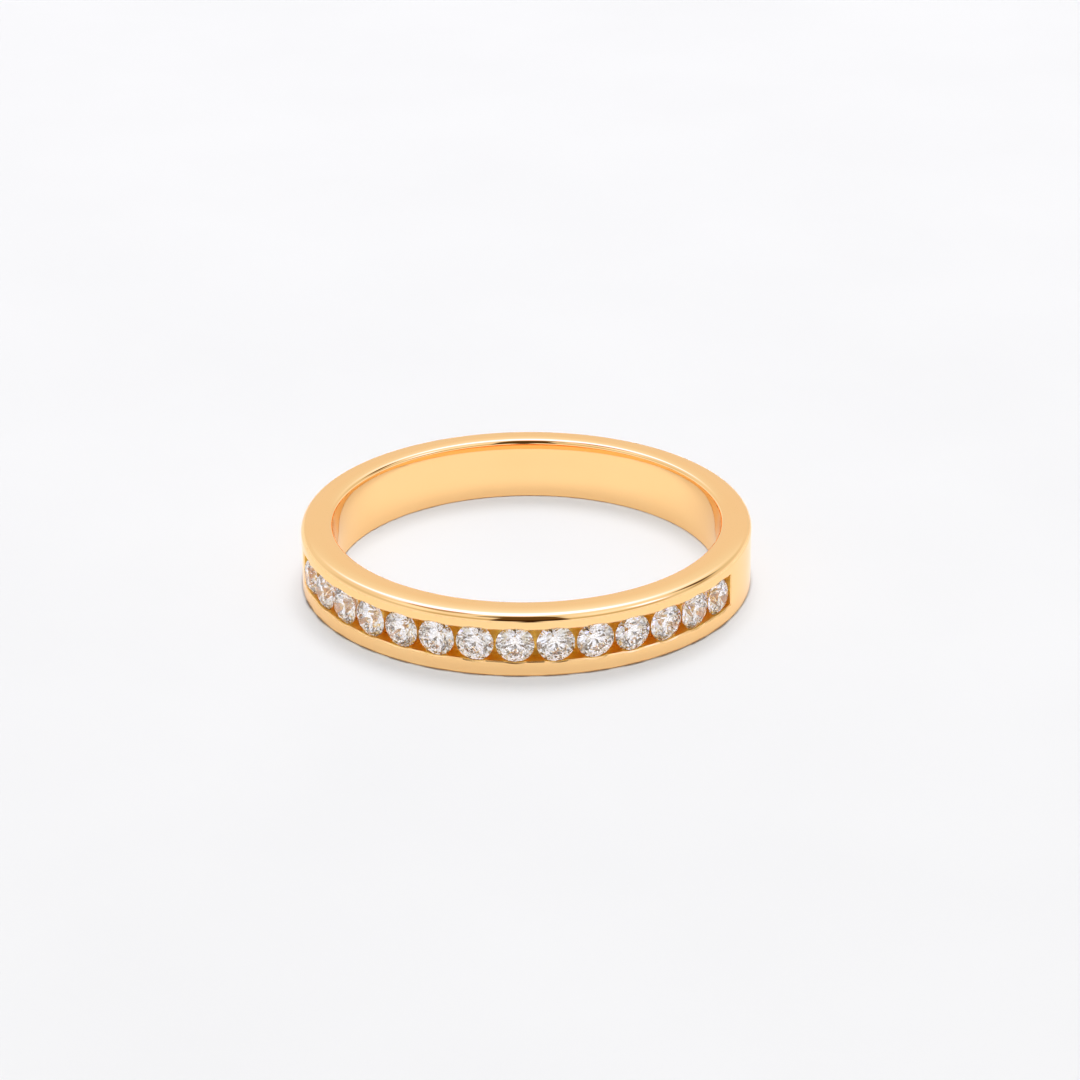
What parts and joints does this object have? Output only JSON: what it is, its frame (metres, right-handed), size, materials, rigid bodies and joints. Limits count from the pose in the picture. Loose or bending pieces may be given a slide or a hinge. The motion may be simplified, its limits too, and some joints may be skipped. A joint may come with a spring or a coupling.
{
  "type": "channel set band",
  "caption": "Half eternity ring: a flat-sided polished yellow gold band with a channel set row of round brilliant stones.",
  "frame": {"origin": "middle of the finger hole, on its axis, halfway between the two flat sides", "axes": "+Z along the axis of the finger hole, up as the ring lies on its side; -Y from the origin towards the middle of the row of stones; +X to the right when the row is seen from the front"},
  "size_m": [0.0203, 0.0203, 0.0028],
  "materials": {
    "gold": "mirror polished yellow gold",
    "stone": "clear colourless stone, round brilliant cut and polished"
  },
  "bodies": {
    "root": {"band": "gold", "stone_01": "stone", "stone_02": "stone", "stone_03": "stone", "stone_04": "stone", "stone_05": "stone", "stone_06": "stone", "stone_07": "stone", "stone_08": "stone", "stone_09": "stone", "stone_10": "stone", "stone_11": "stone", "stone_12": "stone", "stone_13": "stone", "stone_14": "stone"}
  },
  "joints": []
}
